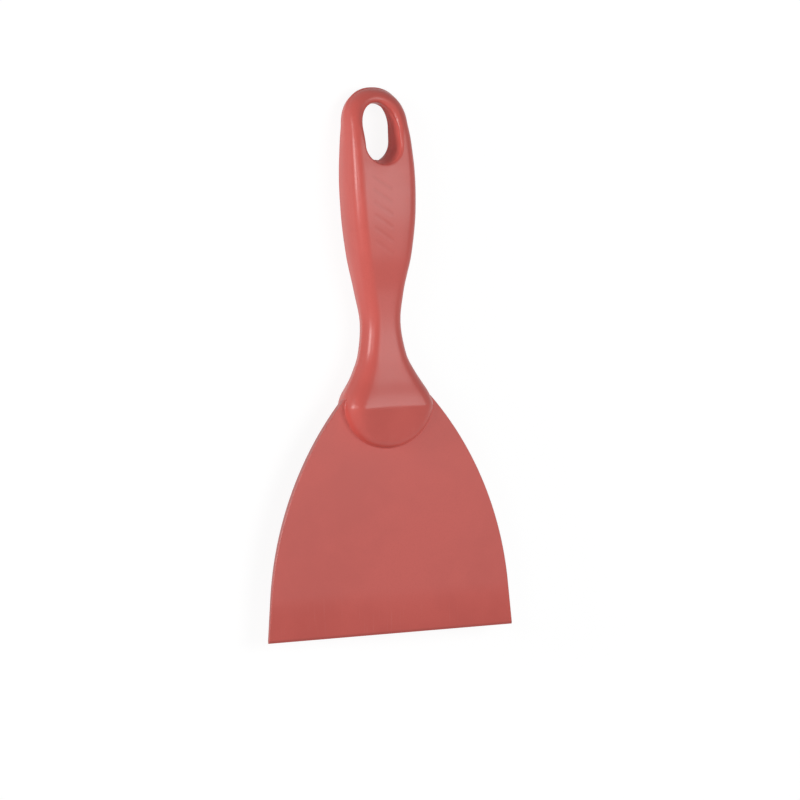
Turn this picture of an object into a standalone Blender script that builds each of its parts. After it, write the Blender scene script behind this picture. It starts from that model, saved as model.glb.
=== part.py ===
"""A one-hand plastic scraper: a tapered blade whose tang is locked inside a moulded handle.

The scraper lies on its back. X runs across the blade, Y from the scraping edge to the
hanging slot and Z out of the handle's front. The origin is under the middle of the
scraper, and the blade's mid-plane is BLADE_LEVEL above it. Positions along Y are counted
here from the scraping edge, and half the length is taken off as each mesh is made.
"""

import math

import bmesh
import bpy
import numpy as np

# Overall sizes, in metres
LENGTH = 0.2040
BLADE_WIDTH = 0.102
BLADE_LEVEL = 0.011
CLEARANCE = 0.0003

# Blade, seen from the front: straight near the edge, then one arc to the bolster's flank
SIDE_TAPER = math.radians(5.2)
SIDE_STRAIGHT = 0.0165
SHOULDER_DEPTH = 0.0030

# Blade thickness: a wedge from the edge to the shoulder, then thinner along the tang
TIP_THICKNESS = 0.0013
ROOT_THICKNESS = 0.003
TANG_THICKNESS = 0.0024
EDGE_THICKNESS = 0.0005
EDGE_BEVEL = 0.0009
BLADE_CHAMFER = 0.00025

# Tang, as half widths, and the holes that lock it. Its root and neck lie at shares of the
# way from the bolster to the handle's neck
TANG_ROOT_SHARE = 0.413
TANG_NECK_SHARE = 0.651
TANG_ROOT_HALF = 0.0056
TANG_NECK_HALF = 0.0036
TANG_END_HALF = 0.0062
TANG_END_RADIUS = 0.003
TANG_TO_SLOT = 0.026
LOCK_HOLE_RADIUS = 0.0019
SHOULDER_HOLE_SPREAD = 0.0075
SHOULDER_HOLE_DEPTH = 0.0025
TANG_HOLE_TO_END = 0.007
TANG_HOLE_PITCH = 0.013

# Handle, seen from the front: places along it and half widths
BOLSTER_AT = 0.0855
BOLSTER_REACH = 0.016
NECK_REACH = 0.0315
GRIP_TO_END = 0.035
END_ARC_LENGTH = 0.0128
BOLSTER_HALF = 0.0181
NECK_HALF = 0.0075
GRIP_HALF = 0.0135
END_HALF = 0.0124
END_SQUARENESS = 2.2

# Handle, seen from the side: front over and foot under the blade's mid-plane, back over
# the table, and half the length of the flat that the bolster rests on
FOOT_HEIGHT = 0.0043
CREASE_HEIGHT = 0.0083
NECK_HEIGHT = 0.0030
CREST_HEIGHT = 0.0062
END_HEIGHT = -0.0037
FOOT_DEPTH = 0.0046
ARCH_RISE = 0.0022
END_RISE = 0.0011
BOLSTER_REST_HALF = 0.002
GRIP_REST_PAST = 0.005

# Rounding of the handle's long edges, and how far its flanks bulge
FOOT_ROUND = 0.0029
BOLSTER_FRONT_ROUND = 0.0058
BOLSTER_BACK_ROUND = 0.0078
NECK_FRONT_ROUND = 0.0046
NECK_BACK_ROUND = 0.0042
GRIP_FRONT_ROUND = 0.0042
GRIP_BACK_ROUND = 0.0029
END_ROUND = 0.0032
CORNER_SHARE = 0.44
FLANK_CROWN = 0.0004

# Hanging slot, whose front rim is crisp at the foot and well rounded at the top
SLOT_LENGTH = 0.0209
SLOT_HALF = 0.0069
SLOT_FOOT_ARC = 0.0064
SLOT_TOP_ARC = 0.0094
LOOP_WIDTH = 0.0061
SLOT_FOOT_ROUND = 0.0007
SLOT_TOP_ROUND = 0.0028
SLOT_BACK_ROUND = 0.0019
SLOT_FOOT_BACK_DROP = 0.0034
SLOT_TOP_BACK_DROP = 0.0024
SLOT_FOOT_DRAFT = 0.0014
SLOT_SIDE_DRAFT = 0.0003
SLOT_BACK_DRAFT = 0.0009
RIM_SHARE = 0.97

# Where the rings of the handle's mesh change: the middle that the pad's rings fan out
# from, as a share of the bolster's reach, and the flare's end, as a share of the neck's
PAD_SHARE = 0.456
FLARE_SHARE = 0.384

# Places that follow from the sizes above
BOLSTER_FOOT = BOLSTER_AT - BOLSTER_REACH
SHOULDER_AT = BOLSTER_AT + SHOULDER_DEPTH
NECK_AT = BOLSTER_AT + NECK_REACH
GRIP_AT = LENGTH - GRIP_TO_END
END_ARC_AT = LENGTH - END_ARC_LENGTH
SLOT_TOP = LENGTH - LOOP_WIDTH
SLOT_FOOT = SLOT_TOP - SLOT_LENGTH
RIM_FOOT = SLOT_FOOT - SLOT_BACK_DRAFT - SLOT_BACK_ROUND
TANG_ROOT_AT = BOLSTER_AT + TANG_ROOT_SHARE * NECK_REACH
TANG_NECK_AT = BOLSTER_AT + TANG_NECK_SHARE * NECK_REACH
TANG_END_AT = SLOT_FOOT - TANG_TO_SLOT
LOCK_HOLES = (
    (-SHOULDER_HOLE_SPREAD, BOLSTER_AT - SHOULDER_HOLE_DEPTH),
    (SHOULDER_HOLE_SPREAD, BOLSTER_AT - SHOULDER_HOLE_DEPTH),
    (0.0, TANG_END_AT - TANG_HOLE_TO_END - TANG_HOLE_PITCH),
    (0.0, TANG_END_AT - TANG_HOLE_TO_END),
)

# Mesh density, in steps along each stretch
BLADE_STRAIGHT_STEPS = 3
BLADE_ARC_STEPS = 29
TANG_STEPS = 33
TANG_END_STEPS = 6
HOLE_SIDES = 40
ARC_STEPS = 14
FLARE_STEPS = 10
GRIP_STEPS = 36
SLOT_STEPS = 4
CORNER_STEPS = 6
FLANK_STEPS = 4
FACE_STEPS = 3
WELD_DISTANCE = 1e-6
CUTTER_MARGIN = 0.01

# Finish
COLOUR = (0.56, 0.13, 0.115, 1.0)
BLADE_ROUGHNESS = 0.45
HANDLE_ROUGHNESS = 0.42
SHARP_ANGLE = math.radians(32)


def between(start, end, share):
    return start + (end - start) * share


def run(start, end, *shape):
    """Stations from start to end, shaped by pairs: a share of the way and of the change."""
    middle = [(between(start[0], end[0], way), between(start[1], end[1], change)) for way, change in shape]
    return [start, *middle, end]


def profile(*runs, level_ends=False):
    """A smooth curve through the runs' stations that doesn't overshoot them."""
    stations = runs[0] + [station for later in runs[1:] for station in later[1:]]
    at = np.array([station[0] for station in stations])
    value = np.array([station[1] for station in stations])
    step = np.diff(at)
    slope = np.diff(value) / step
    tangent = np.zeros(len(at))
    for i in range(1, len(at) - 1):
        if slope[i - 1] * slope[i] > 0:
            before = 2 * step[i] + step[i - 1]
            after = step[i] + 2 * step[i - 1]
            tangent[i] = (before + after) / (before / slope[i - 1] + after / slope[i])
    if not level_ends:
        tangent[0] = slope[0]
        tangent[-1] = slope[-1]

    def curve(x):
        x = min(max(x, at[0]), at[-1])
        i = min(int(np.searchsorted(at, x, side="right")) - 1, len(step) - 1)
        t = (x - at[i]) / step[i]
        return float(
            value[i] * (1 + 2 * t) * (1 - t) ** 2
            + value[i + 1] * t * t * (3 - 2 * t)
            + step[i] * t * (1 - t) * (tangent[i] * (1 - t) - tangent[i + 1] * t)
        )

    return curve


def handle_half_profile():
    """Half the handle's width from the bolster's widest line to the end arc."""
    bolster = (BOLSTER_AT, BOLSTER_HALF)
    neck = (NECK_AT, NECK_HALF)
    grip = (GRIP_AT, GRIP_HALF)
    end = (END_ARC_AT, END_HALF)
    return profile(
        run(bolster, neck, (0.146, 0.123), (0.267, 0.321), (0.384, 0.528), (0.622, 0.849)),
        run(neck, grip, (0.206, 0.200), (0.494, 0.667), (0.783, 0.933)),
        run(grip, end, (0.721, 0.545)),
        level_ends=True,
    )


def front_height_profile():
    """Height of the front over the blade's mid-plane: bolster pad, crease, neck and grip."""
    foot = (BOLSTER_FOOT, FOOT_HEIGHT)
    crease = (BOLSTER_AT, CREASE_HEIGHT)
    neck = (NECK_AT, NECK_HEIGHT)
    crest = (between(NECK_AT, GRIP_AT, 0.77), CREST_HEIGHT)
    end = (LENGTH, END_HEIGHT)
    return profile(
        run(foot, crease, (0.844, 0.850)),
        run(crease, neck, (0.079, 0.075), (0.321, 0.472), (0.651, 0.868)),
        run(neck, crest, (0.250, 0.125), (0.625, 0.781)),
        run(crest, end, (0.319, 0.076), (0.489, 0.207), (0.660, 0.380), (0.851, 0.707)),
    )


def back_rise_profile():
    """Height of the back over the table, which it touches under the bolster and the grip."""
    foot = (BOLSTER_FOOT, BLADE_LEVEL - FOOT_DEPTH)
    pad_start = (BOLSTER_AT - BOLSTER_REST_HALF, 0.0)
    pad_end = (BOLSTER_AT + BOLSTER_REST_HALF, 0.0)
    arch = (between(BOLSTER_AT, NECK_AT, 0.651), ARCH_RISE)
    grip_start = (between(NECK_AT, GRIP_AT, 0.404), 0.0)
    grip_end = (GRIP_AT + GRIP_REST_PAST, 0.0)
    end = (LENGTH, END_RISE)
    return profile(
        run(foot, pad_start, (0.857, 0.937)),
        run(pad_start, pad_end),
        run(pad_end, arch, (0.438, 0.909)),
        run(arch, grip_start, (0.312, 0.273), (0.656, 0.773)),
        run(grip_start, grip_end),
        run(grip_end, end, (0.367, 0.167), (0.767, 0.556)),
    )


def rounding_profile(at_bolster, at_neck, at_grip):
    """Reach of a long edge's rounding, as seen from the front."""
    foot = (BOLSTER_FOOT, FOOT_ROUND)
    bolster = (BOLSTER_AT, at_bolster)
    neck = (NECK_AT, at_neck)
    grip = (GRIP_AT, at_grip)
    end = (LENGTH, END_ROUND)
    return profile(
        run(foot, bolster),
        run(bolster, neck, (0.321, 0.400), (0.651, 0.900)),
        run(neck, grip, (0.250, 0.750)),
        run(grip, end, (0.457, 0.750)),
    )


def rim_profile(at_foot, at_top):
    """A size of the slot's rim, which changes from the slot's foot to its top."""
    return profile(run((SLOT_FOOT, at_foot), (SLOT_TOP, at_top), (0.300, 0.150), (0.700, 0.750)))


def draft_profile():
    """How far the slot's wall leans back to its front rim, which is most at the foot."""
    foot = (SLOT_FOOT, SLOT_FOOT_DRAFT)
    side = (SLOT_FOOT + SLOT_FOOT_ARC, SLOT_SIDE_DRAFT)
    return profile(run(foot, side, (0.300, 0.350)))


def tang_half_profile():
    """Half the tang's width from the blade's shoulder to the tang's end."""
    shoulder = (SHOULDER_AT, BOLSTER_HALF)
    root = (TANG_ROOT_AT, TANG_ROOT_HALF)
    neck = (TANG_NECK_AT, TANG_NECK_HALF)
    end = (TANG_END_AT, TANG_END_HALF)
    return profile(
        run(shoulder, root, (0.300, 0.463)),
        run(root, neck),
        run(neck, end, (0.280, 0.000), (0.650, 1.000)),
    )


handle_half = handle_half_profile()
front_height = front_height_profile()
back_rise = back_rise_profile()
front_round = rounding_profile(BOLSTER_FRONT_ROUND, NECK_FRONT_ROUND, GRIP_FRONT_ROUND)
back_round = rounding_profile(BOLSTER_BACK_ROUND, NECK_BACK_ROUND, GRIP_BACK_ROUND)
rim_round = rim_profile(SLOT_FOOT_ROUND, SLOT_TOP_ROUND)
rim_back_drop = rim_profile(SLOT_FOOT_BACK_DROP, SLOT_TOP_BACK_DROP)
rim_draft = draft_profile()
tang_half = tang_half_profile()


def steps(start, end, count):
    """Evenly spaced values from start up to, but without, end."""
    return list(np.linspace(start, end, count + 1)[:-1])


def side_radius():
    """Radius of the blade side's arc, which leaves the straight and ends on the bolster."""
    across = BLADE_WIDTH / 2 - SIDE_STRAIGHT * math.tan(SIDE_TAPER) - BOLSTER_HALF
    up = SHOULDER_AT - SIDE_STRAIGHT
    inward = across * math.cos(SIDE_TAPER) - up * math.sin(SIDE_TAPER)
    return (across * across + up * up) / (2 * inward)


def blade_half(y):
    """Half the blade's width at y, up to the shoulder."""
    if y <= SIDE_STRAIGHT:
        return BLADE_WIDTH / 2 - y * math.tan(SIDE_TAPER)
    radius = side_radius()
    sine = math.sin(SIDE_TAPER) + (y - SIDE_STRAIGHT) / radius
    fall = radius * (math.cos(SIDE_TAPER) - math.sqrt(1 - sine * sine))
    return blade_half(SIDE_STRAIGHT) - fall


def blade_thickness(y):
    """Thickness at y: a bevel at the edge, the wedge, then thinner along the tang."""
    if y < EDGE_BEVEL:
        return between(EDGE_THICKNESS, blade_thickness(EDGE_BEVEL), y / EDGE_BEVEL)
    if y <= SHOULDER_AT:
        return between(TIP_THICKNESS, ROOT_THICKNESS, y / SHOULDER_AT)
    way = min((y - SHOULDER_AT) / (TANG_NECK_AT - SHOULDER_AT), 1)
    return between(ROOT_THICKNESS, TANG_THICKNESS, way)


def blade_side():
    """The blade's right-hand outline as (x, y), from the edge to the tang's end."""
    first = SIDE_STRAIGHT / BLADE_STRAIGHT_STEPS
    sides = [0.0, EDGE_BEVEL]
    sides += steps(first, SIDE_STRAIGHT, BLADE_STRAIGHT_STEPS - 1)
    sides += steps(SIDE_STRAIGHT, SHOULDER_AT, BLADE_ARC_STEPS)
    points = [(blade_half(y), y) for y in sides]
    straight_end = TANG_END_AT - TANG_END_RADIUS
    points += [(tang_half(y), y) for y in steps(SHOULDER_AT, straight_end, TANG_STEPS)]
    for angle in np.linspace(0, math.pi / 2, TANG_END_STEPS + 1):
        x = TANG_END_HALF - TANG_END_RADIUS * (1 - math.cos(angle))
        points.append((x, straight_end + TANG_END_RADIUS * math.sin(angle)))
    return points


def grown(points, by):
    """The outline moved outward along its normals."""
    p = np.array(points)
    along = np.gradient(p, axis=0)
    along[-1] = (-1, 0)
    along /= np.linalg.norm(along, axis=1)[:, None]
    return [tuple(q) for q in p + by * np.stack([along[:, 1], -along[:, 0]], axis=1)]


def new_object(name, mesh):
    obj = bpy.data.objects.new(name, mesh)
    bpy.context.scene.collection.objects.link(obj)
    return obj


def mesh_from(name, vertices, faces):
    """A closed mesh with its coincident vertices joined and its faces turned outward."""
    mesh = bpy.data.meshes.new(name)
    mesh.from_pydata([(x, y - LENGTH / 2, z) for x, y, z in vertices], [], faces)
    edit = bmesh.new()
    edit.from_mesh(mesh)
    bmesh.ops.remove_doubles(edit, verts=edit.verts, dist=WELD_DISTANCE)
    bmesh.ops.recalc_face_normals(edit, faces=edit.faces)
    edit.to_mesh(mesh)
    edit.free()
    return mesh


def plate(name, outline, thickness, chamfer):
    """A flat plate, symmetrical left to right, from its right-hand outline."""
    vertices = []
    faces = []
    for x, y in outline:
        half = thickness(y) / 2
        bevel = min(chamfer, half / 2)
        ring = [(x, half - bevel), (x - bevel, half)]
        ring += [(-a, b) for a, b in reversed(ring)]
        ring += [(a, -b) for a, b in reversed(ring)]
        vertices += [(a, y, BLADE_LEVEL + b) for a, b in ring]
    count = len(ring)
    for i in range(len(outline) - 1):
        for k in range(count):
            a = i * count + k
            b = i * count + (k + 1) % count
            faces.append((a, b, b + count, a + count))
    faces.append(tuple(range(count)))
    faces.append(tuple(range(len(vertices) - count, len(vertices))))
    return new_object(name, mesh_from(name, vertices, faces))


def pin(name, radius, x, y):
    """An upright cylinder through the blade, used as a cutter."""
    mesh = bpy.data.meshes.new(name)
    edit = bmesh.new()
    bmesh.ops.create_cone(
        edit,
        cap_ends=True,
        segments=HOLE_SIDES,
        radius1=radius,
        radius2=radius,
        depth=2 * ROOT_THICKNESS,
    )
    edit.to_mesh(mesh)
    edit.free()
    obj = new_object(name, mesh)
    obj.location = (x, y - LENGTH / 2, BLADE_LEVEL)
    return obj


def cut(target, cutter):
    modifier = target.modifiers.new(cutter.name, "BOOLEAN")
    modifier.operation = "DIFFERENCE"
    modifier.solver = "EXACT"
    modifier.object = cutter
    cutter.hide_render = True
    cutter.display_type = "WIRE"


def bolster_rows():
    """Outline points round the bolster's foot, each fanned in to the pad's middle."""
    pad_centre = between(BOLSTER_AT, BOLSTER_FOOT, PAD_SHARE)
    rows = []
    for angle in steps(-math.pi / 2, 0, ARC_STEPS):
        x = BOLSTER_HALF * math.cos(angle)
        y = BOLSTER_AT + BOLSTER_REACH * math.sin(angle)
        rows.append(((x, y), (0.0, max(y, pad_centre)), None))
    return rows


def grip_rows():
    """Outline points up the flare, the neck and the grip, each with its centre-line point."""
    flare_end = between(BOLSTER_AT, NECK_AT, FLARE_SHARE)
    heights = steps(BOLSTER_AT, flare_end, FLARE_STEPS)
    heights += steps(flare_end, RIM_FOOT, GRIP_STEPS)
    return [((handle_half(y), y), (0.0, y), None) for y in heights]


def slot_arc(centre, length, start, end):
    """Points and outward normals along a quarter of the slot's rounded end."""
    points = []
    for angle in np.linspace(start, end, ARC_STEPS + 1):
        c, s = math.cos(angle), math.sin(angle)
        size = math.hypot(length * c, SLOT_HALF * s)
        normal = (length * c / size, SLOT_HALF * s / size)
        points.append(((SLOT_HALF * c, centre + length * s), normal))
    return points


def loop_rows():
    """Outline points round the loop, each with its point on the slot's wall."""
    low = SLOT_FOOT + SLOT_FOOT_ARC
    high = SLOT_TOP - SLOT_TOP_ARC
    wall = slot_arc(low, SLOT_FOOT_ARC, -math.pi / 2, 0)
    wall += [((SLOT_HALF, y), (1.0, 0.0)) for y in steps(low, high, SLOT_STEPS)[1:]]
    beside = len(wall)
    wall += slot_arc(high, SLOT_TOP_ARC, 0, math.pi / 2)
    outline = [(handle_half(y), y) for y in steps(RIM_FOOT, END_ARC_AT, beside)]
    for angle in np.linspace(0, math.pi / 2, ARC_STEPS + 1):
        c, s = max(math.cos(angle), 0.0), math.sin(angle)
        x = END_HALF * c ** (2 / END_SQUARENESS)
        y = END_ARC_AT + END_ARC_LENGTH * s ** (2 / END_SQUARENESS)
        outline.append((x, y))
    return [(edge, point, normal) for edge, (point, normal) in zip(outline, wall)]


def handle_solid(name):
    """The handle before it is hollowed: rounded edges, crowned flanks and the open slot."""
    right = bolster_rows() + grip_rows() + loop_rows()
    left = []
    for edge, inner, normal in reversed(right[1:-1]):
        turned = None if normal is None else (-normal[0], normal[1])
        left.append(((-edge[0], edge[1]), (-inner[0], inner[1]), turned))
    rows = right + left
    edges = np.array([row[0] for row in rows])
    inners = np.array([row[1] for row in rows])
    along = np.roll(edges, -1, axis=0) - np.roll(edges, 1, axis=0)
    along /= np.linalg.norm(along, axis=1)[:, None]
    inward = np.stack([-along[:, 1], along[:, 0]], axis=1)
    corner = np.linspace(0, math.pi / 2, CORNER_STEPS + 1)

    def surface(y, side):
        """Height of the front, for side 1, or of the back, for side -1."""
        return BLADE_LEVEL + front_height(y) if side > 0 else back_rise(y)

    def draft(i, side):
        """How far the slot's wall leans back from its middle to its rim at row i."""
        return rim_draft(inners[i][1]) if side > 0 else SLOT_BACK_DRAFT

    def rounding(i, side):
        """Reach of the long edge's and of the slot rim's rounding across row i."""
        reach = front_round(edges[i][1]) if side > 0 else back_round(edges[i][1])
        if rows[i][2] is None:
            return reach, 0.0
        room = np.linalg.norm(edges[i] - inners[i]) - FLANK_CROWN - draft(i, side)
        rim = rim_round(inners[i][1]) if side > 0 else SLOT_BACK_ROUND
        share = min(1.0, RIM_SHARE * room / (reach + rim))
        return reach * share, rim * share

    def outer_half(i, side):
        """Points from the inner point over the face and the long edge to the flank."""
        edge, inner, normal = edges[i], inners[i], rows[i][2]
        reach, rim = rounding(i, side)
        if normal is not None:
            inner = inner + np.array(normal) * (draft(i, side) + rim)
        start = edge + inward[i] * (FLANK_CROWN + reach)
        face = [inner + (start - inner) * way for way in steps(0, 1, FACE_STEPS)]
        points = [(p[0], p[1], surface(p[1], side)) for p in face]
        depth = front_round(edge[1]) if side > 0 else back_round(edge[1])
        depth = min(depth, CORNER_SHARE * (surface(edge[1], 1) - surface(edge[1], -1)))
        for angle in corner:
            p = edge + inward[i] * (FLANK_CROWN + reach * (1 - math.sin(angle)))
            drop = depth * (1 - math.cos(angle))
            points.append((p[0], p[1], surface(p[1], side) - side * drop))
        return points

    def outer_strip(i):
        """Points from the front's inner point, over the flank, to the back's inner point."""
        front = outer_half(i, 1)
        back = outer_half(i, -1)
        high, low = front[-1][2], back[-1][2]
        flank = []
        for t in np.linspace(1, -1, FLANK_STEPS + 1)[1:-1]:
            p = edges[i] + inward[i] * FLANK_CROWN * t * t
            flank.append((p[0], p[1], (high + low) / 2 + t * (high - low) / 2))
        return front + flank + back[::-1]

    def slot_half(i, side):
        """Points from the slot rim's face to its wall."""
        rim = rounding(i, side)[1]
        depth = rim_round(inners[i][1]) if side > 0 else rim_back_drop(inners[i][1])
        points = []
        for angle in corner:
            away = draft(i, side) + rim * (1 - math.sin(angle))
            p = inners[i] + np.array(rows[i][2]) * away
            drop = depth * (1 - math.cos(angle))
            points.append((p[0], p[1], surface(p[1], side) - side * drop))
        return points

    def slot_strip(i):
        """Points from the front of the slot's rim, down its wall, to the back of the rim."""
        front = slot_half(i, 1)
        back = slot_half(i, -1)
        middle = [(inners[i][0], inners[i][1], (front[-1][2] + back[-1][2]) / 2)]
        return front + middle + back[::-1]

    vertices = []
    faces = []

    def skin(strips, closed):
        """Faces between neighbouring strips, joined round to the first one if closed."""
        start = len(vertices)
        width = len(strips[0])
        for strip in strips:
            vertices.extend(strip)
        for i in range(len(strips) - (0 if closed else 1)):
            for k in range(width - 1):
                a = start + i * width + k
                b = start + (i + 1) % len(strips) * width + k
                faces.append((a, a + 1, b + 1, b))

    skin([outer_strip(i) for i in range(len(rows))], closed=True)
    slot = [i for i in range(len(rows)) if rows[i][2] is not None]
    skin([slot_strip(i) for i in slot], closed=False)
    return new_object(name, mesh_from(name, vertices, faces))


def finish(obj, material_name, roughness):
    material = bpy.data.materials.new(material_name)
    material.use_nodes = True
    shader = material.node_tree.nodes["Principled BSDF"]
    shader.inputs["Base Color"].default_value = COLOUR
    shader.inputs["Roughness"].default_value = roughness
    shader.inputs["Metallic"].default_value = 0.0
    obj.data.materials.append(material)
    obj.data.shade_smooth()
    obj.data.set_sharp_from_angle(angle=SHARP_ANGLE)


for obj in list(bpy.data.objects):
    bpy.data.objects.remove(obj, do_unlink=True)

side = blade_side()
blade = plate("blade", side, blade_thickness, BLADE_CHAMFER)
pocket_side = [p for p in grown(side, CLEARANCE) if p[1] > BOLSTER_FOOT - CUTTER_MARGIN]
pocket = plate("pocket", pocket_side, lambda y: blade_thickness(y) + 2 * CLEARANCE, 0.0)
handle = handle_solid("handle")

for number, (x, y) in enumerate(LOCK_HOLES, start=1):
    cut(blade, pin(f"lock_hole_{number}", LOCK_HOLE_RADIUS, x, y))
    cut(pocket, pin(f"lock_pin_{number}", LOCK_HOLE_RADIUS - CLEARANCE, x, y))
cut(handle, pocket)

finish(blade, "blade_polypropylene", BLADE_ROUGHNESS)
finish(handle, "handle_polypropylene", HANDLE_ROUGHNESS)
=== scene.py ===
"""Looks of the hand scraper: two satin polypropylene mouldings on a pale floor.

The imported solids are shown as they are, with smooth shading and procedural materials. One
piece is added: the small moulded fillet where the handle's bolster meets the blade.
Sizes are metres in the frame's own coordinates: X across the blade, Y from the scraping
edge to the hanging slot, Z out of the handle's front, the surface that it lies on at 0.
"""

import math
from collections import namedtuple

import bmesh
import bpy
from mathutils import Matrix, Vector
from mathutils.bvhtree import BVHTree


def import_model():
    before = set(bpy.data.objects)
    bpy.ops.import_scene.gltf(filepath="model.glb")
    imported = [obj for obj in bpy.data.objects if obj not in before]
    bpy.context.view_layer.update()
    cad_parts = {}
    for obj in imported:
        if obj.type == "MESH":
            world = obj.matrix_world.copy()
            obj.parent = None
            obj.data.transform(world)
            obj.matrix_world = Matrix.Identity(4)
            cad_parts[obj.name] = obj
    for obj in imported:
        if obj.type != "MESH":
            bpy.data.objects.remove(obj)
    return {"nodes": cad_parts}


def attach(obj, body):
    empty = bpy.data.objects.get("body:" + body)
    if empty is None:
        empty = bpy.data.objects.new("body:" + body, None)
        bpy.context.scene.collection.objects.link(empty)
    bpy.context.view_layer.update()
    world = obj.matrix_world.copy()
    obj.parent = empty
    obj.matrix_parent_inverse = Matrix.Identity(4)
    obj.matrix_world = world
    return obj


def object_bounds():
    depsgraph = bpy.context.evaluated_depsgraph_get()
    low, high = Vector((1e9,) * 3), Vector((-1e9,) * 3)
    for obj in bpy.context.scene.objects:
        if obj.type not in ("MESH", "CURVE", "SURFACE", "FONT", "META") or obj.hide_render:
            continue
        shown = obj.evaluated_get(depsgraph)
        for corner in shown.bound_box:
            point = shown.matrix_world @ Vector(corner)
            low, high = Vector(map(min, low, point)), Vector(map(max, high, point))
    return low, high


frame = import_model()
cad_low, cad_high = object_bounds()

ACROSS = Vector((1.0, 0.0, 0.0))
LENGTHWISE = Vector((0.0, 1.0, 0.0))
UPRIGHT = Vector((0.0, 0.0, 1.0))

# Camera: where it stands round the scraper, what it looks at and its lens
VIEW_YAW = math.radians(26.87)
VIEW_PITCH = math.radians(4.45)
VIEW_ROLL = math.radians(-1.31)
VIEW_DISTANCE = 2.0
VIEW_AIM = Vector((0.00424, -0.01443, 0.01423))
LENS_MM = 241.6
SENSOR_MM = 36.0

# Lamps, all of them aimed at LAMP_AIM
Lamp = namedtuple("Lamp", "place width height watts")
LAMP_AIM = Vector((0.0, 0.01, 0.01))
LAMPS = {
    "overhead_right": Lamp(Vector((0.44, 0.17, 0.98)), width=0.55, height=0.65, watts=5.0),
    "left_strip": Lamp(Vector((-0.85, 0.19, 0.14)), width=0.32, height=0.24, watts=4.4),
    "left_high": Lamp(Vector((-0.80, 0.20, 0.65)), width=0.30, height=0.30, watts=1.4),
}

# Light from all round, stronger from the scraping edge's side: a wide and a narrower share
AMBIENT_WIDE = 0.22
AMBIENT_NARROW = 0.78
NARROWNESS = 4.0

# Floor: half its side, its level just under the scraper, its tone as the object sees it, and
# the lit white, its share of glow and the glow itself where it is in view
FLOOR_HALF = 6.0
FLOOR_LEVEL = -0.0002
FLOOR_BOUNCE = 0.45
FLOOR_LIT = 0.92
FLOOR_GLOW_SHARE = 0.85
FLOOR_GLOW = 1.07

# Facets: those that turn by less than this are shaded as one smooth surface
SMOOTH_WITHIN = math.radians(32)
WELD_DISTANCE = 2e-6

# A noise pattern: its scale per metre, its detail, the levels at which it sets in and is
# full, its roughness and its stretch along each axis
Noise = namedtuple(
    "Noise", "scale detail levels roughness stretch", defaults=((0.0, 1.0), 0.5, (1.0, 1.0, 1.0))
)

# A mark: its tone as a share of the red, the white mixed in, how much of the tone under it
# it covers, and the roughness that it adds
Mark = namedtuple("Mark", "red white cover rough", defaults=(0.0, 1.0, 0.0))

# A relief: how strongly it shades and how high it is
Relief = namedtuple("Relief", "strength height")

# A moulding's finish: its roughness in dark and light clouds, its wide swell and fine grain
Finish = namedtuple("Finish", "roughness swell swell_relief grain_relief")

# Plastic: its red, its gloss, the clouds, specks and grain in it, and the finish of each
# moulding
RED = (0.61, 0.101, 0.082)
SPECULAR_LEVEL = 0.4
REFRACTIVE_INDEX = 1.49
CLOUDS = Noise(42.0, detail=3.0, levels=(0.35, 0.65))
CLOUD_GLOSS_LEVELS = (0.3, 0.7)
CLOUD_DARK = Mark(0.965)
CLOUD_LIGHT = Mark(1.03, white=0.006)
SPECKS = Noise(1800.0, detail=1.0, levels=(0.45, 0.75))
SPECK_MARK = Mark(0.9, cover=0.25)
GRAIN = Noise(5200.0, detail=2.0)
HANDLE_FINISH = Finish(
    roughness=(0.30, 0.36),
    swell=Noise(70.0, detail=1.0),
    swell_relief=Relief(0.12, 0.0006),
    grain_relief=Relief(0.18, 0.00004),
)
BLADE_FINISH = Finish(
    roughness=(0.36, 0.43),
    swell=Noise(30.0, detail=1.0),
    swell_relief=Relief(0.1, 0.0008),
    grain_relief=Relief(0.15, 0.00004),
)

# Faint scuffs along the handle
SCUFFS = Noise(1.0, detail=3.0, levels=(0.6, 0.75), stretch=(260.0, 90.0, 260.0))
SCUFF_MARK = Mark(1.0, white=0.1, cover=0.07, rough=0.06)

# Faint oblique grooves on the grip's front: the first one's start and run, their count,
# pitch and half width, how much fainter each is than the one above it, the painted shade that
# darkens them, and their relief
GROOVE_START = Vector((-0.0055, 0.0692, 0.0))
GROOVE_RUN = Vector((0.0066, -0.0045, 0.0))
GROOVE_COUNT = 6
GROOVE_PITCH = 0.0048
GROOVE_HALF = 0.0013
GROOVE_FADE = 0.13
GROOVE_PAINTED_SHADE = Mark(0.8, cover=0.35)
GROOVE_RELIEF = Relief(0.5, 0.00015)

# Faint mould line round the grip: its height, half its width and its share of the relief
SEAM_HEIGHT = 0.011
SEAM_HALF = 0.00022
SEAM_SHARE = 0.25

# Painted shade on the wall inside the hanging slot: a deeper red than the open faces, standing in
# for the shade in the slot, and a rougher finish. It lies within reach of the slot's middle, each
# axis counting as much as SLOT_SHAPE says, and its faces turn away from SLOT_LEAN, a line that
# leans with the slot's drafted foot
SLOT_MIDDLE = Vector((0.0, 0.0855, 0.0))
SLOT_SHAPE = Vector((1.0, 0.62, 0.0))
SLOT_REACH = (0.0085, 0.0088)
SLOT_LEAN = Vector((0.0, -0.2, 1.0))
SLOT_TURN = (0.2, 0.35)
SLOT_PAINTED_SHADE = Mark(1.22, rough=0.26)

# Wear of the blade: patches of lengthwise scratches, and how far up from the edge they run
SCRATCHES = Noise(
    1.0, detail=4.0, levels=(0.56, 0.72), roughness=0.65, stretch=(1500.0, 60.0, 1500.0)
)
PATCHES = Noise(120.0, detail=2.0, levels=(0.42, 0.62))
SCRATCH_MARK = Mark(1.0, white=0.12, cover=0.2, rough=0.1)
SCRATCH_RELIEF = Relief(0.25, 0.00002)
WEAR_LENGTH = 0.028
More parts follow.
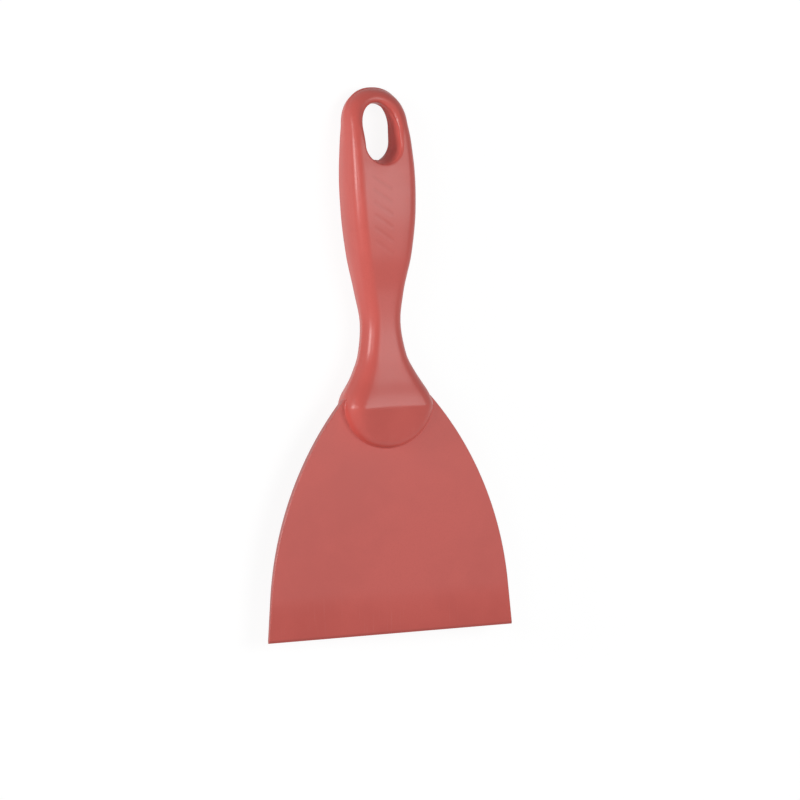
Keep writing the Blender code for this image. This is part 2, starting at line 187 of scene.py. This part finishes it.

# Painted shade on the blade: a darker line along its edge, by its height up the blade, and on
# its narrow sides a darker tone with a painted pale sheen, by how far a face turns sideways
TIP_SHADE_REACH = (0.0006, 0.0013)
TIP_PAINTED_SHADE = Mark(0.72, cover=0.7)
SIDE_SHADE_TURN = (0.5, 0.85)
SIDE_PAINTED_SHADE_AND_SHEEN = Mark(0.58, white=0.08, cover=0.8)

# Fillet between the bolster and the blade: its reach over the blade, its lap up the wall
# past the pocket's rim, how far that lap and its back are sunk, its facets and the spacing
# of its sections
FILLET_REACH = 0.00045
FILLET_LAP = 0.0003
FILLET_SINK = 0.00002
FILLET_ROOT = 0.0002
FILLET_STEPS = 6
FILLET_SPACING = 0.00015

# A face of the pocket lies this near the blade and is turned at least this much toward it
POCKET_NEAR = 0.0006
POCKET_FACING = 0.6


class Graph:
    """A node tree with short calls for making and joining nodes."""

    def __init__(self, tree):
        self.tree = tree

    def feed(self, node, inputs):
        """Gives the node its inputs, by name or number: a value or another node's output."""
        for key, value in inputs.items():
            if isinstance(value, bpy.types.NodeSocket):
                self.tree.links.new(value, node.inputs[key])
            else:
                node.inputs[key].default_value = value

    def node(self, kind, inputs=(), **settings):
        made = self.tree.nodes.new(kind)
        for name, value in settings.items():
            setattr(made, name, value)
        self.feed(made, dict(inputs))
        return made

    def math(self, operation, *values, clamp=False):
        made = self.node("ShaderNodeMath", enumerate(values), operation=operation, use_clamp=clamp)
        return made.outputs[0]

    def vector(self, operation, *values):
        made = self.node("ShaderNodeVectorMath", enumerate(values), operation=operation)
        return made.outputs["Value" if operation in ("LENGTH", "DOT_PRODUCT") else "Vector"]

    def rise(self, value, low, high, bottom=0.0, top=1.0):
        """The bottom below low, the top above high, and a smooth change between them."""
        inputs = enumerate((value, low, high, bottom, top))
        return self.node("ShaderNodeMapRange", inputs, interpolation_type="SMOOTHSTEP").outputs[0]

    def fall(self, value, low, high, top=1.0):
        """The top below low, 0 above high, and a smooth change between them."""
        return self.rise(value, low, high, top, 0.0)

    def noise(self, place, pattern):
        inputs = {
            "Vector": self.vector("MULTIPLY", place, pattern.stretch),
            "Scale": pattern.scale,
            "Detail": pattern.detail,
            "Roughness": pattern.roughness,
        }
        return self.node("ShaderNodeTexNoise", inputs).outputs["Fac"]

    def mix_shaders(self, share, first, second):
        return self.node("ShaderNodeMixShader", enumerate((share, first, second))).outputs[0]


class Plastic(Graph):
    """The red plastic as it is made up: its tone, roughness and relief so far."""

    def __init__(self, name, finish):
        self.material = bpy.data.materials.new(name)
        self.material.use_nodes = True
        super().__init__(self.material.node_tree)
        self.finish = finish
        self.place = self.node("ShaderNodeTexCoord").outputs["Object"]
        self.facing = self.node("ShaderNodeNewGeometry").outputs["Normal"]
        clouds = self.noise(self.place, CLOUDS)
        self.roughness = self.rise(clouds, *CLOUD_GLOSS_LEVELS, *finish.roughness)
        self.tone = tinted(CLOUD_DARK)
        self.mark(self.rise(clouds, *CLOUDS.levels), CLOUD_LIGHT)
        self.mark(self.pattern(SPECKS), SPECK_MARK)
        self.normal = None
        self.emboss(self.noise(self.place, finish.swell), finish.swell_relief)

    def pattern(self, pattern):
        """1 where the noise pattern is full, 0 where it hasn't set in."""
        return self.rise(self.noise(self.place, pattern), *pattern.levels)

    def mark(self, mask, mark):
        """Lays the mark over the tone, and adds its roughness, where the mask is 1."""
        share = self.math("MULTIPLY", mask, mark.cover)
        inputs = {"Factor": share, "A": self.tone, "B": tinted(mark)}
        self.tone = self.node("ShaderNodeMix", inputs, data_type="RGBA").outputs["Result"]
        if mark.rough:
            self.roughness = self.math("MULTIPLY_ADD", mask, mark.rough, self.roughness)

    def emboss(self, shape, relief):
        """Raises the surface where the shape is 1, on top of its relief so far."""
        inputs = {"Height": shape, "Strength": relief.strength, "Distance": relief.height}
        if self.normal is not None:
            inputs["Normal"] = self.normal
        self.normal = self.node("ShaderNodeBump", inputs).outputs["Normal"]

    def finished(self):
        """The material, with the mould's fine grain over all of it."""
        self.emboss(self.noise(self.place, GRAIN), self.finish.grain_relief)
        self.feed(self.tree.nodes["Principled BSDF"], {
            "Base Color": self.tone,
            "Roughness": self.roughness,
            "Specular IOR Level": SPECULAR_LEVEL,
            "IOR": REFRACTIVE_INDEX,
            "Normal": self.normal,
        })
        return self.material


def tinted(mark):
    """The mark's tone: its share of the plastic's red, with its white mixed in."""
    return tuple(channel * mark.red * (1 - mark.white) + mark.white for channel in RED) + (1.0,)


def grey(level):
    return (level, level, level, 1.0)


def grooves(plastic):
    """Depth of the oblique grooves: 1 along the first one's middle, fading to the sides."""
    flat = plastic.vector("MULTIPLY", plastic.place, ACROSS + LENGTHWISE)
    total = 0.0
    for number in range(GROOVE_COUNT):
        start = GROOVE_START - number * GROOVE_PITCH * LENGTHWISE
        offset = plastic.vector("SUBTRACT", flat, start)
        along = plastic.vector("DOT_PRODUCT", offset, GROOVE_RUN)
        share = plastic.math("DIVIDE", along, GROOVE_RUN.length_squared, clamp=True)
        nearest = plastic.vector("MULTIPLY", GROOVE_RUN, share)
        away = plastic.vector("LENGTH", plastic.vector("SUBTRACT", offset, nearest))
        depth = 1.0 - number * GROOVE_FADE
        total = plastic.math("ADD", total, plastic.fall(away, 0.0, GROOVE_HALF, depth))
    return total


def slot_wall_shade(plastic):
    """Where the slot's painted shade lies: 1 on the steep wall inside the hanging slot, 0
    elsewhere.
    """
    offset = plastic.vector("SUBTRACT", plastic.place, SLOT_MIDDLE)
    away = plastic.vector("LENGTH", plastic.vector("MULTIPLY", offset, SLOT_SHAPE))
    turn = plastic.math("ABSOLUTE", plastic.vector("DOT_PRODUCT", plastic.facing, SLOT_LEAN))
    return plastic.math("MULTIPLY", plastic.fall(away, *SLOT_REACH), plastic.fall(turn, *SLOT_TURN))


def seam(plastic):
    """1 along the mould line round the grip, fading to its sides."""
    height = plastic.vector("DOT_PRODUCT", plastic.place, UPRIGHT)
    away = plastic.math("ABSOLUTE", plastic.math("SUBTRACT", height, SEAM_HEIGHT))
    return plastic.fall(away, 0.0, SEAM_HALF)


def handle_plastic():
    plastic = Plastic("handle_plastic", HANDLE_FINISH)
    groove_depth_and_shade = grooves(plastic)
    plastic.mark(plastic.pattern(SCUFFS), SCUFF_MARK)
    # Painted shade: the grooves' colour darkened, most where they are deepest
    plastic.mark(groove_depth_and_shade, GROOVE_PAINTED_SHADE)
    # Painted shade inside the slot: its wall a deeper red
    plastic.mark(slot_wall_shade(plastic), SLOT_PAINTED_SHADE)
    raised = plastic.math("MULTIPLY", seam(plastic), SEAM_SHARE)
    plastic.emboss(plastic.math("SUBTRACT", raised, groove_depth_and_shade), GROOVE_RELIEF)
    return plastic.finished()


def blade_plastic():
    plastic = Plastic("blade_plastic", BLADE_FINISH)
    lengthwise = plastic.vector("DOT_PRODUCT", plastic.place, LENGTHWISE)
    from_edge = plastic.math("SUBTRACT", lengthwise, cad_low.y)
    sideways = plastic.math("ABSOLUTE", plastic.vector("DOT_PRODUCT", plastic.facing, ACROSS))
    scratched = plastic.math("MULTIPLY", plastic.pattern(SCRATCHES), plastic.pattern(PATCHES))
    worn = plastic.math("MULTIPLY", scratched, plastic.fall(from_edge, 0.0, WEAR_LENGTH))
    plastic.mark(worn, SCRATCH_MARK)
    # Painted shade: a darker line along the scraping edge
    plastic.mark(plastic.fall(from_edge, *TIP_SHADE_REACH), TIP_PAINTED_SHADE)
    # Painted shade with a painted pale sheen on the blade's narrow sides
    plastic.mark(plastic.rise(sideways, *SIDE_SHADE_TURN), SIDE_PAINTED_SHADE_AND_SHEEN)
    plastic.emboss(plastic.math("MULTIPLY", worn, -1.0), SCRATCH_RELIEF)
    return plastic.finished()


def seen_directly(graph):
    """1 for rays that show the background itself: from the camera, or by gloss or glass."""
    rays = graph.node("ShaderNodeLightPath").outputs
    seen = graph.math("MAXIMUM", rays["Is Camera Ray"], rays["Is Glossy Ray"])
    return graph.math("MAXIMUM", seen, rays["Is Transmission Ray"])


def floor_material():
    """Dull to the object, and a glowing white that keeps its shadow where it is seen."""
    material = bpy.data.materials.new("pale_floor")
    material.use_nodes = True
    graph = Graph(material.node_tree)
    graph.tree.nodes.remove(graph.tree.nodes["Principled BSDF"])
    bounce = graph.node("ShaderNodeBsdfDiffuse", {"Color": grey(FLOOR_BOUNCE)}).outputs[0]
    lit = graph.node("ShaderNodeBsdfDiffuse", {"Color": grey(FLOOR_LIT)}).outputs[0]
    glow = graph.node("ShaderNodeEmission", {"Strength": FLOOR_GLOW}).outputs[0]
    shown = graph.mix_shaders(FLOOR_GLOW_SHARE, lit, glow)
    surface = graph.mix_shaders(seen_directly(graph), bounce, shown)
    graph.feed(graph.tree.nodes["Material Output"], {"Surface": surface})
    return material


def placed(name, data):
    """A new object in the scene, made of the data."""
    obj = bpy.data.objects.new(name, data)
    bpy.context.scene.collection.objects.link(obj)
    return obj


def floor():
    corners = ((-1, -1), (1, -1), (1, 1), (-1, 1))
    mesh = bpy.data.meshes.new("floor")
    mesh.from_pydata(
        [(x * FLOOR_HALF, y * FLOOR_HALF, FLOOR_LEVEL) for x, y in corners], [], [(0, 1, 2, 3)]
    )
    mesh.materials.append(floor_material())
    placed("floor", mesh)


def softbox(name, lamp):
    light = bpy.data.lights.new(name, "AREA")
    light.shape = "RECTANGLE"
    light.size = lamp.width
    light.size_y = lamp.height
    light.energy = lamp.watts
    obj = placed(name, light)
    obj.location = lamp.place
    obj.rotation_mode = "QUATERNION"
    obj.rotation_quaternion = (LAMP_AIM - lamp.place).to_track_quat("-Z", "Y")


def background(graph, strength):
    inputs = {"Color": grey(1.0), "Strength": strength}
    return graph.node("ShaderNodeBackground", inputs).outputs[0]


def world():
    """Light from all round, and plain white where the background itself is seen."""
    made = bpy.data.worlds.new("studio")
    made.use_nodes = True
    bpy.context.scene.world = made
    graph = Graph(made.node_tree)
    graph.tree.nodes.remove(graph.tree.nodes["Background"])
    place = graph.node("ShaderNodeTexCoord").outputs["Generated"]
    lean = graph.vector("DOT_PRODUCT", place, -LENGTHWISE)
    half = graph.math("MULTIPLY_ADD", lean, 0.5, 0.5, clamp=True)
    narrow = graph.math("MULTIPLY", graph.math("POWER", half, NARROWNESS), AMBIENT_NARROW)
    light = background(graph, graph.math("MULTIPLY_ADD", half, AMBIENT_WIDE, narrow))
    white = background(graph, 1.0)
    surface = graph.mix_shaders(seen_directly(graph), light, white)
    graph.feed(graph.tree.nodes["World Output"], {"Surface": surface})


def camera():
    toward = Vector((
        -math.sin(VIEW_YAW) * math.cos(VIEW_PITCH),
        math.sin(VIEW_PITCH),
        math.cos(VIEW_YAW) * math.cos(VIEW_PITCH),
    ))
    level_up = (LENGTHWISE - toward.y * toward).normalized()
    level_right = level_up.cross(toward)
    right = math.cos(VIEW_ROLL) * level_right + math.sin(VIEW_ROLL) * level_up
    up = math.cos(VIEW_ROLL) * level_up - math.sin(VIEW_ROLL) * level_right
    lens = bpy.data.cameras.new("camera")
    lens.lens = LENS_MM
    lens.sensor_width = SENSOR_MM
    lens.clip_end = 2 * FLOOR_HALF
    obj = placed("camera", lens)
    turned = Matrix((right, up, toward)).transposed().to_4x4()
    obj.matrix_world = Matrix.Translation(VIEW_AIM + VIEW_DISTANCE * toward) @ turned
    bpy.context.scene.camera = obj


def smooth_facets():
    """A modifier tree that joins the solid's facets and shades them smooth."""
    tree = bpy.data.node_groups.new("smooth_facets", "GeometryNodeTree")
    for way in ("INPUT", "OUTPUT"):
        tree.interface.new_socket("Geometry", in_out=way, socket_type="NodeSocketGeometry")
    graph = Graph(tree)
    angle = graph.node("GeometryNodeInputMeshEdgeAngle").outputs["Unsigned Angle"]
    turn = {"A": angle, "B": SMOOTH_WITHIN}
    sharp = graph.node("FunctionNodeCompare", turn, data_type="FLOAT", operation="GREATER_THAN")
    edges = {"Selection": sharp.outputs[0], "Shade Smooth": False}
    stages = (
        graph.node("NodeGroupInput"),
        graph.node("GeometryNodeRemoveAttribute", {"Name": "custom_normal"}),
        graph.node("GeometryNodeMergeByDistance", {"Distance": WELD_DISTANCE}),
        graph.node("GeometryNodeSetShadeSmooth", domain="FACE"),
        graph.node("GeometryNodeSetShadeSmooth", edges, domain="EDGE"),
        graph.node("NodeGroupOutput"),
    )
    for stage, following in zip(stages, stages[1:]):
        graph.feed(following, {0: stage.outputs[0]})
    return tree


def dress(obj, material, smoothing):
    obj.data.materials.clear()
    obj.data.materials.append(material)
    obj.modifiers.new("smooth_facets", "NODES").node_group = smoothing


def welded(obj):
    """The object's solid in world space, with its facets joined."""
    edit = bmesh.new()
    edit.from_mesh(obj.data)
    edit.transform(obj.matrix_world)
    bmesh.ops.remove_doubles(edit, verts=edit.verts, dist=WELD_DISTANCE)
    edit.normal_update()
    return edit


def in_order(edges):
    """The edges' vertices as one closed run, the longest if there are more."""
    left = set(edges)
    runs = []
    for edge in edges:
        if edge not in left:
            continue
        left.discard(edge)
        run = list(edge.verts)
        while run[-1] != run[0]:
            following = [beside for beside in run[-1].link_edges if beside in left]
            if not following:
                break
            left.discard(following[0])
            run.append(following[0].other_vert(run[-1]))
        runs.append(run)
    return max(runs, key=len)[:-1]


def mouth_rim(handle, solid):
    """Points round the mouth of the blade's pocket: (place, the wall's outward direction)."""
    pocket = set()
    for face in handle.faces:
        middle = face.calc_center_median()
        nearest, _, _, gap = solid.find_nearest(middle, POCKET_NEAR)
        if nearest is not None and face.normal.dot(nearest - middle) > POCKET_FACING * gap:
            pocket.add(face)
    rim = [edge for edge in handle.edges if sum(face in pocket for face in edge.link_faces) == 1]
    points = []
    for vertex in in_order(rim):
        wall = Vector()
        for face in vertex.link_faces:
            if face not in pocket:
                wall += face.normal * face.calc_area()
        points.append((vertex.co.copy(), wall.normalized()))
    return points


def evenly(points):
    """The closed run of points again, a FILLET_SPACING apart."""
    closed = points + points[:1]
    lengths = [(b[0] - a[0]).length for a, b in zip(closed, closed[1:])]
    total = sum(lengths)
    count = round(total / FILLET_SPACING)
    spaced = []
    passed = 0.0
    index = 0
    for number in range(count):
        wanted = total * number / count
        while passed + lengths[index] < wanted:
            passed += lengths[index]
            index += 1
        share = (wanted - passed) / lengths[index]
        first, second = closed[index], closed[index + 1]
        spaced.append(tuple(a.lerp(b, share) for a, b in zip(first, second)))
    return spaced


def fillet_section(solid, place, wall):
    """One section of the fillet: a hollow arc from the bolster's wall to the blade's face.

    Inner points into the blade, out runs along the blade away from the wall, and down runs
    along the wall to the corner between them.
    """
    nearest, _, _, gap = solid.find_nearest(place)
    inner = (nearest - place).normalized()
    wall = wall.normalized()
    out = (wall - inner * wall.dot(inner)).normalized()
    down = (inner - wall * inner.dot(wall)).normalized()
    corner = place + down * (gap / down.dot(inner))
    top = place - down * FILLET_LAP - wall * FILLET_SINK
    bend = corner - wall * FILLET_SINK
    foot = solid.find_nearest(corner + out * FILLET_REACH)[0]
    section = [corner + inner * FILLET_ROOT - out * FILLET_ROOT, top - wall * FILLET_ROOT]
    for step in range(FILLET_STEPS + 1):
        share = step / FILLET_STEPS
        section.append(top.lerp(bend, share).lerp(bend.lerp(foot, share), share))
    section.append(foot + inner * FILLET_ROOT)
    return section


def ring_mesh(name, sections):
    """A closed mesh through sections that follow one another all the way round."""
    count = len(sections[0])
    faces = []
    for row in range(len(sections)):
        here = row * count
        there = (row + 1) % len(sections) * count
        for corner in range(count):
            beside = (corner + 1) % count
            faces.append((here + corner, here + beside, there + beside, there + corner))
    mesh = bpy.data.meshes.new(name)
    mesh.from_pydata([point for section in sections for point in section], [], faces)
    edit = bmesh.new()
    edit.from_mesh(mesh)
    bmesh.ops.recalc_face_normals(edit, faces=edit.faces)
    edit.to_mesh(mesh)
    edit.free()
    return mesh


def foot_fillet(material, smoothing):
    """The hollow moulded edge that runs round the bolster's foot, front and back."""
    handle = welded(frame["nodes"]["handle"])
    blade = welded(frame["nodes"]["blade"])
    solid = BVHTree.FromBMesh(blade)
    sections = [fillet_section(solid, *point) for point in evenly(mouth_rim(handle, solid))]
    handle.free()
    blade.free()
    obj = placed("foot_fillet", ring_mesh("foot_fillet", sections))
    dress(obj, material, smoothing)
    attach(obj, "root")


smoothing = smooth_facets()
handle_look = handle_plastic()
dress(frame["nodes"]["handle"], handle_look, smoothing)
dress(frame["nodes"]["blade"], blade_plastic(), smoothing)
foot_fillet(handle_look, smoothing)
floor()
for name, lamp in LAMPS.items():
    softbox(name, lamp)
world()
camera()
bpy.context.scene.view_settings.view_transform = "Standard"
